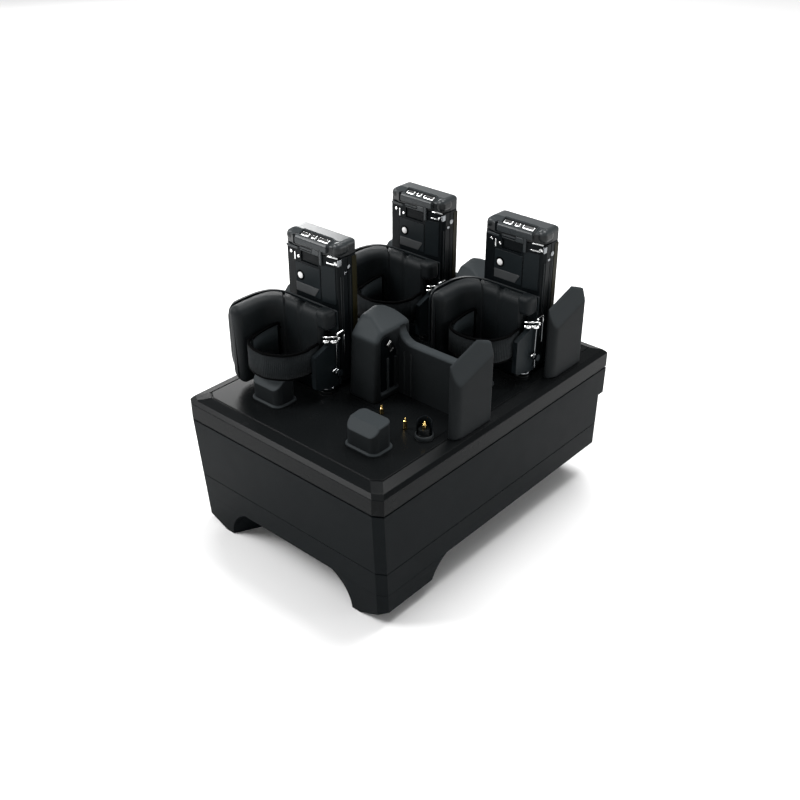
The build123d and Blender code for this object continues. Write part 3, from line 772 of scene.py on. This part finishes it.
def front_trim(bay):
    """Panel, label, status dot, strips and the frame of the key on the terminal's front."""
    y = CASE_FACE
    key_low, key_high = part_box("front_key_" + bay)
    x0 = (key_low.x - ORIGIN[bay].x) / MM - 0.4
    x1 = (key_high.x - ORIGIN[bay].x) / MM + 0.4
    z1 = key_high.z / MM + 0.4
    panel = [(27.2, 141.8), (46.6, 141.8), (46.6, 159.6), (27.2, 159.6)]
    label_shape = [(27.6, 142.3), (42.2, 142.3), (45.6, 147.6), (27.6, 147.6)]
    strip = [(47.4, y - 0.3), (56.8, y + 1.2), (56.8, y + 1.7), (47.4, y + 0.2)]
    flank = [(18.5, y + 2.3), (26.9, y - 0.1), (26.9, y + 0.2), (18.5, y + 2.6)]
    dot_place = (31.2, y - 0.3, 152.2)
    dot = [(1.7, 0), (1.9, 0.1), (1.9, 0.4), (1.6, 0.6), (0.1, 0.7)]
    dot_ring = [(2.0, 0), (2.0, 0.3), (2.8, 0.3), (3.0, 0.1), (3.0, 0)]
    foot_ring = [(4.5, 0), (4.9, 0.2), (5.1, 0.8), (4.9, 1.5), (4.5, 1.7)]
    pieces = [
        prism("panel_" + bay, panel, "y", y - 0.35, y + 0.1, "panel_plastic", 0.25),
        prism("label_" + bay, label_shape, "y", y - 0.6, y - 0.3, "label_grey", 0.1),
        lathe("dot_" + bay, dot_place, (0, -1, 0), dot, "white_dot"),
        lathe("dot_ring_" + bay, dot_place, (0, -1, 0), dot_ring, "binding"),
        prism("strip_" + bay, strip, "z", 141.0, 163.0, "panel_plastic", 0.15),
        prism("flank_" + bay, flank, "z", 120.0, 166.6, "rubber", 0.1),
        block("key_post_" + bay, (46.7, 48.4), (y - 0.9, y + 0.3), (162.6, 172.0),
              "trim_plastic", 0.4),
        block("key_hood_" + bay, (x0, 41.0), (y - 0.7, y + 0.2), (z1 + 1.4, z1 + 2.4),
              "trim_plastic", 0.3),
        block("key_step_" + bay, (41.2, 46.6), (y - 0.8, y + 0.2), (z1 + 0.2, z1 + 3.4),
              "trim_plastic", 0.5),
        block("key_sill_" + bay, (x0, x1), (y - 0.2, y + 0.2), (z1 + 0.1, z1 + 0.6),
              "trim_plastic", 0.15),
        # painted shade: a black block under the terminal's front that darkens the gap there and hides
        # the contact pins
        block("contact_shade_block_" + bay, (24.0, 56.0), (-51.4, -50.7), (89.7, 97.0), "rubber", 0.3),
        lathe("foot_ring_" + bay, (56.0, -48.4, 92.0), (0, 0, 1), foot_ring, "dark_chrome"),
    ]
    for obj in pieces:
        put(obj, bay, "terminal", "case_plastic")


def head_trim(bay):
    """Lobes of the scan head: rounded shoulders either side of the scan module's front."""
    y = CASE_FACE
    brow = [(y - 0.9, 170.8), (y - 0.9, 174.2), (y + 0.3, 175.6), (y + 1.0, 175.9),
            (y + 1.4, 170.8)]
    pieces = [
        block("lobe_left_" + bay, (18.2, 26.0), (y + 0.9, y + 15), (169.4, 176.2),
              "head_plastic", 3.2),
        block("lobe_right_" + bay, (53.4, 59.9), (y + 0.9, y + 11), (169.2, 177.0),
              "head_plastic", 3.0),
        block("lobe_gap_" + bay, (26.0, 28.0), (y - 0.1, y + 3), (169.6, 175.4), "rubber", 0.3),
        prism("module_front_" + bay, brow, "x", 28.0, 52.2, "trim_plastic", 0.6),
    ]
    for obj in pieces:
        put(obj, bay, "terminal", "head_plastic")


def window_parts(bay):
    """Frame round the scan slot and the bright optics inside it."""
    low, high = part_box("scan_window_" + bay)
    centre = (low + high) / 2 - ORIGIN[bay]
    lay = Matrix.Translation(centre) @ Matrix.Rotation(WINDOW_TILT, 4, "X")
    half = (high.x - low.x) / MM / 2
    rim = frame_ring("slot_rim_" + bay, half + 0.2, 2.5, 1.1, 0.2, 2.0, "trim_plastic")
    spans = [("left", -half + 0.6, -half + 6.6), ("mid", -half + 8.4, -half + 12.0),
             ("right", -half + 13.6, half - 0.6)]
    lenses = [block("optic_%s_%s" % (name, bay), (a, b), (-1.5, 1.5), (0.3, 1.9),
                    "lever_chrome", 0.7) for name, a, b in spans]
    for obj in [rim] + lenses:
        obj.data.transform(lay)
        put(obj, bay, "terminal", "head_plastic")


def frame_ring(name, half_x, half_y, width, low, high, material):
    """A rounded rectangular frame lying flat round the origin."""
    corner = 0.8

    def rectangle(grow, z):
        radius = corner + grow
        ring = []
        for sx, sy, start in ((1, 1, 0), (-1, 1, 0.5), (-1, -1, 1.0), (1, -1, 1.5)):
            for k in range(6):
                angle = (start + k / 10) * math.pi
                ring.append((sx * (half_x - corner) + radius * math.cos(angle),
                             sy * (half_y - corner) + radius * math.sin(angle), z))
        return ring

    rings = [rectangle(0, low), rectangle(0, high - 0.3), rectangle(0.3, high),
             rectangle(width - 0.4, high), rectangle(width, high - 0.5), rectangle(width, low),
             rectangle(0, low)]
    return sharp_where_bent(loft(name, rings, material, closed_ends=False))


def side_details(bay):
    """Tinted edge strip and fine ribs on the case's right flank."""
    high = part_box("case_back_" + bay)[1] - ORIGIN[bay]
    x = high.x / MM
    y = high.y / MM
    strip = block("edge_strip_" + bay, (x - 0.3, x + 0.25), (y - 5.0, y - 1.4), (96.0, 167.6),
                  "edge_tint", 0.12)
    put(strip, bay, "terminal", "case_plastic")
    for k, at in enumerate((-38.4, -36.8, -31.2)):
        rib = block("flank_rib_%d_%s" % (k, bay), (x - 0.3, x + 0.2), (at, at + 0.4),
                    (112.0, 158.0), "strip_plastic", 0.1)
        put(rib, bay, "terminal", "case_plastic")


# ---------------------------------------------------------------- cradle details

def open_contacts(bay):
    """In the empty bay the pins stand at full height, the last one in front of a black hood."""
    for i, ((x, y), top) in enumerate(PINS):
        height = top - PIN_FOOT
        shape = [(1.15, 0), (1.15, height - 2.0), (0.7, height - 1.6), (0.7, height - 0.6),
                 (0.4, height - 0.1), (0.05, height)]
        tip = lathe("pin_tip_%d" % i, (x, y, PIN_FOOT), (0, 0, 1), shape, "gold_contact", 24)
        put(tip, bay, "carrier", "gold_contact")


def pin_hood(bay):
    """Black hood that stands half round the last pin."""
    x, y = PINS[2][0]
    steps = 24
    rings = []
    for k in range(steps + 1):
        angle = math.radians(20 + 200 * k / steps)
        top = HOOD_TOP - 1.6 * abs(2 * k / steps - 1)
        rings.append([(x + r * math.cos(angle), y + r * math.sin(angle), z)
                      for r, z in ((3.5, HOOD_FOOT), (3.5, top - 0.4), (3.9, top),
                                   (4.3, top - 0.4), (4.3, HOOD_FOOT))])
    put(loft("pin_hood", rings, "rubber"), bay, "carrier", "gold_contact")


def boss_ring(bay):
    """Light collar on the contact boss that the empty bay shows."""
    x, y = PINS[2][0]
    steps = 40
    section = [(4.3, 89.0), (4.3, 91.6), (4.7, 91.75), (5.1, 91.3), (5.1, 89.3), (4.9, 89.0)]
    rings = []
    for k in range(steps + 1):
        angle = math.tau * k / steps
        rings.append([(x + r * math.cos(angle), y + r * math.sin(angle), z) for r, z in section])
    ring = loft("boss_ring", rings, "strip_plastic", closed_ends=False)
    ride_cradle(ring, bay)


def recess_back(bay):
    """Black sheet of painted shade in the pocket beside a terminal, a rail painted pale as a lit line,
    a step, and two ribs up the wall.
    """
    face = WALL_LEFT
    ribs_y = (WALL_FRONT - 0.6, WALL_FRONT + 0.3)
    # painted shade: a black sheet over the pocket's back makes it read deeper; the rail's pale plastic
    # is a painted highlight
    pieces = [prism("recess_back_" + bay, POCKET, "x", face - 1.65, face - 1.45, "rubber", 0.05),
              block("recess_rail_" + bay, (face - 1.6, face - 0.5), (-30.2, -28.9), (94.0, 114.0),
                    "trim_plastic", 0.3),
              block("recess_step_" + bay, (face - 1.6, face - 0.2), (-24.2, -22.6), (94.0, 113.0),
                    "guide_plastic", 0.3)]
    pieces += [block("wall_rib_%d_%s" % (x, bay), (x, x + 1.0), ribs_y, (89.2, 117.0),
                     "strip_plastic", 0.4) for x in (18, 23)]
    for obj in pieces:
        ride_cradle(obj, bay)


def base_screws():
    """Countersunk screws that hold the base plate."""
    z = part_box("base_plate")[0].z / MM
    shape = [(0.2, -0.3), (1.4, -0.3), (1.4, 0.35), (2.9, 0.5), (3.2, 0.2), (3.2, -0.3)]
    for i, (x, y) in enumerate(((-40, -50), (40, -50), (-40, 62), (40, 62))):
        head = lathe("base_screw_%d" % i, (x, y, z), (0, 0, -1), shape, "dark_chrome")
        ride_cradle(head)


def inlet_ring():
    """Raised ring round the power inlet."""
    low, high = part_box("power_inlet")
    centre = ((low.x + high.x) / 2 / MM, high.y / MM, (low.z + high.z) / 2 / MM)
    shape = [(3.4, 0), (3.4, 0.7), (4.0, 0.9), (6.2, 0.9), (6.8, 0.4), (6.8, 0)]
    ring = lathe("inlet_ring", centre, (0, 1, 0), shape, "inlet_plastic", 48)
    ride_cradle(ring)


# ---------------------------------------------------------------- CAD nodes

SLOTS = {row["node"]: row["material_slot"] for row in frame["record"]["subparts"]}

# Width of the rounded edges of the CAD nodes whose names start so
ROUNDED = {"lower_housing": 0.5, "deck_cover": 0.35, "leg": 0.6, "rear_plinth": 0.8,
           "finger_post": 0.3, "case_front": 0.25, "case_back": 0.25, "front_key": 0.15,
           "contact_arm": 0.45, "side_rail": 0.25, "back_wall": 0.25, "scan_head": 0.2}


def dress_nodes():
    """Give every CAD node its material and soften the edges that a moulding would have."""
    for name, obj in frame["nodes"].items():
        obj.data.materials.clear()
        obj.data.materials.append(MATERIALS[SLOTS[name]])
        widths = [width for key, width in ROUNDED.items() if name.startswith(key)]
        if name.startswith("side_fin"):
            melt(obj, FIN_ROUNDS)
        elif name.startswith("tower"):
            melt(obj, TOWER_ROUNDS)
        elif widths:
            round_edges(obj, widths[0], angle=25)


# ---------------------------------------------------------------- stage

def floor():
    """A wide sheet of white paper under the object, which is not part of it."""
    size = FLOOR_HALF
    verts = [(-size, -size, 0), (size, -size, 0), (size, size, 0), (-size, size, 0)]
    mesh = bpy.data.meshes.new("floor")
    mesh.from_pydata(verts, [], [(0, 1, 2, 3)])
    obj = bpy.data.objects.new("floor", mesh)
    bpy.context.scene.collection.objects.link(obj)
    obj.location.z = -FLOOR_DROP
    n = Nodes("floor_paper")
    paper = n.noise(3.0, 2.0)
    white = n.colours(paper, (0.86, 0.86, 0.86), (0.88, 0.88, 0.88))
    mesh.materials.append(n.set(Base_Color=white, Roughness=0.9, Specular_IOR_Level=0.1))


def area_light(name, place, target, size, power):
    """A rectangular light that faces its target."""
    data = bpy.data.lights.new(name, "AREA")
    data.shape = "RECTANGLE"
    data.size, data.size_y = size
    data.energy = power
    obj = bpy.data.objects.new(name, data)
    obj.location = place
    aim = Vector(target) - Vector(place)
    obj.rotation_euler = aim.to_track_quat("-Z", "Y").to_euler()
    bpy.context.scene.collection.objects.link(obj)


def lights():
    """A sky with a dark band that keeps the deck black, and the area lights."""
    world = bpy.data.worlds.new("studio")
    world.use_nodes = True
    tree = world.node_tree
    place = tree.nodes.new("ShaderNodeTexCoord")
    split = tree.nodes.new("ShaderNodeSeparateXYZ")
    ramp = tree.nodes.new("ShaderNodeValToRGB")
    tree.links.new(place.outputs["Generated"], split.inputs[0])
    tree.links.new(split.outputs["Z"], ramp.inputs[0])
    tree.links.new(ramp.outputs[0], tree.nodes["Background"].inputs["Color"])
    tree.nodes["Background"].inputs["Strength"].default_value = WORLD_STRENGTH
    stops = ramp.color_ramp.elements
    while len(stops) < len(WORLD_STOPS):
        stops.new(1.0)
    for stop, (height, grey) in zip(stops, WORLD_STOPS):
        stop.position = height
        stop.color = (grey, grey, grey, 1)
    bpy.context.scene.world = world
    for light in LIGHTS:
        area_light(*light)


def camera():
    """The view of a long lens from the front right, above."""
    azimuth = math.radians(CAMERA_AZIMUTH)
    elevation = math.radians(CAMERA_ELEVATION)
    level = math.cos(elevation)
    back = Vector((math.sin(azimuth) * level, -math.cos(azimuth) * level, math.sin(elevation)))
    data = bpy.data.cameras.new("camera")
    data.lens = CAMERA_LENS
    data.sensor_width = SENSOR_WIDTH
    obj = bpy.data.objects.new("camera", data)
    obj.location = CAMERA_PLACE
    obj.rotation_euler = back.to_track_quat("Z", "Y").to_euler()
    bpy.context.scene.collection.objects.link(obj)
    bpy.context.scene.camera = obj


# ---------------------------------------------------------------- the scene

camera()
lights()
floor()
dress_nodes()
base_screws()
inlet_ring()
for bay in DOCKED:
    cuff_pad(bay)
    thumb_rest(bay)
    cuff_shell(bay)
    strap_band(bay)
    strap_flap(bay)
    strap_lever(bay)
    hinge_hardware(bay)
    front_trim(bay)
    head_trim(bay)
    window_parts(bay)
    side_details(bay)
open_contacts(EMPTY)
pin_hood(EMPTY)
boss_ring(EMPTY)
for bay in BAYS:
    recess_back(bay)
bpy.context.scene.view_settings.view_transform = "Standard"
